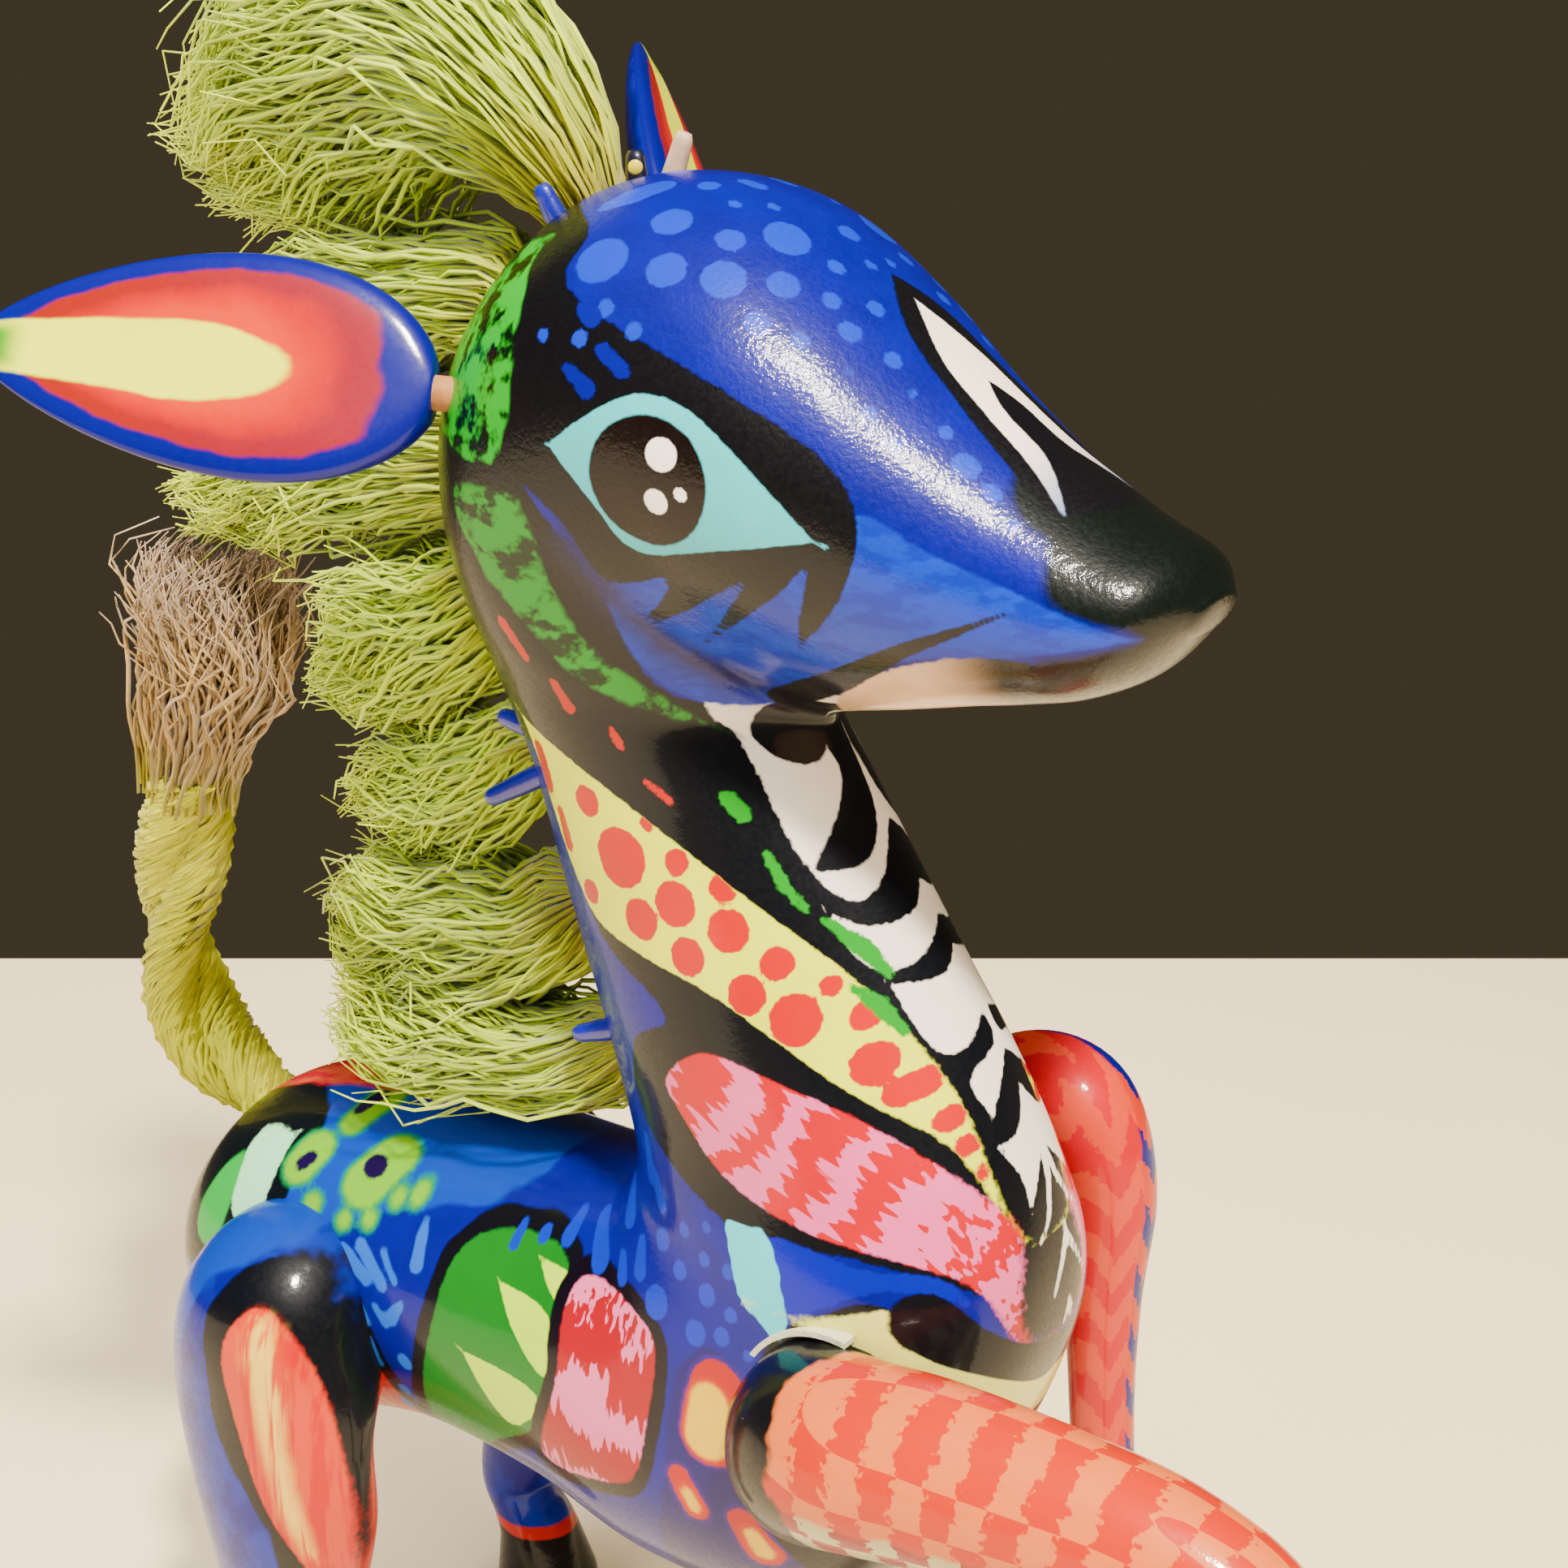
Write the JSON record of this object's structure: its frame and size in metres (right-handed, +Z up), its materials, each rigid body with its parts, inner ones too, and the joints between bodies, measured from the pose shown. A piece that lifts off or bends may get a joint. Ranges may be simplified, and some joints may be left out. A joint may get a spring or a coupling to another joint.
{
  "type": "carved animal figure",
  "caption": "Carved, painted and varnished wooden foal standing on its legs, with a tufted fibre mane, a stiff frayed rope tail and ears that turn on pegs.",
  "frame": {"origin": "centre of the bounding box, on the plane that the soles stand on", "axes": "+X towards the muzzle, +Y towards the figure's left side, +Z up"},
  "size_m": [0.1045, 0.0522, 0.1296],
  "materials": {
    "body_paint": "glossy varnished paint, ultramarine with many-coloured patches",
    "leg_orange_paint": "glossy varnished paint, orange with cream patches on black",
    "leg_pink_paint": "glossy varnished paint, salmon with hot pink zigzags",
    "thigh_paint": "glossy varnished paint, orange-salmon petal on black",
    "ear_paint": "glossy varnished paint, yellow inside a coral line and a violet-blue rim",
    "bare_wood": "bare pale wood",
    "putty": "matt filler, brushed over thinly",
    "mane_fibre": "dyed plant fibre, bright yellow-green",
    "tail_fibre": "twisted plant fibre rope, olive yellow",
    "brush_fibre": "frayed plant fibre, tan brown",
    "wedge_blue": "glossy blue paint",
    "wedge_black": "glossy black paint"
  },
  "bodies": {
    "figure": {"carved_body": "body_paint", "leg_fore_right": "leg_orange_paint", "leg_fore_left": "leg_pink_paint", "leg_hind_right": "thigh_paint", "leg_hind_left": "thigh_paint", "dowel_fore_right": "bare_wood", "dowel_fore_left": "bare_wood", "dowel_hind_right": "bare_wood", "dowel_hind_left": "bare_wood", "putty_fore_right": "putty", "mane_forelock": "mane_fibre", "mane_nape": "mane_fibre", "mane_curl": "mane_fibre", "mane_middle": "mane_fibre", "mane_wisp": "mane_fibre", "mane_withers_upper": "mane_fibre", "mane_withers_lower": "mane_fibre", "wedge_poll_blue": "wedge_blue", "wedge_poll_black": "wedge_black", "wedge_poll_pale": "bare_wood", "wedge_wisp_blue": "wedge_blue", "wedge_neck_blue": "wedge_blue", "wedge_withers_blue": "wedge_blue", "tail_rope": "tail_fibre", "tail_brush": "brush_fibre"},
    "right_ear_peg": {"ear_peg_right": "bare_wood"},
    "right_ear": {"ear_right": "ear_paint"},
    "left_ear_peg": {"ear_peg_left": "bare_wood"},
    "left_ear": {"ear_left": "ear_paint"}
  },
  "joints": [
    {"name": "right_ear_pull", "type": "slide", "parent": "figure", "child": "right_ear_peg", "axis": [-0.8341, -0.5417, 0.1045], "range_m": [0, 0.006]},
    {"name": "right_ear_turn", "type": "hinge", "parent": "right_ear_peg", "child": "right_ear", "pos_m": [-0.0057, -0.01088, 0.103], "axis": [-0.8341, -0.5417, 0.1045], "range_deg": [-30, 30]},
    {"name": "left_ear_pull", "type": "slide", "parent": "figure", "child": "left_ear_peg", "axis": [-0.5745, 0.5548, 0.6018], "range_m": [0, 0.006]},
    {"name": "left_ear_turn", "type": "hinge", "parent": "left_ear_peg", "child": "left_ear", "pos_m": [-0.0057, 0.0102, 0.1052], "axis": [-0.5745, 0.5548, 0.6018], "range_deg": [-30, 30]}
  ]
}
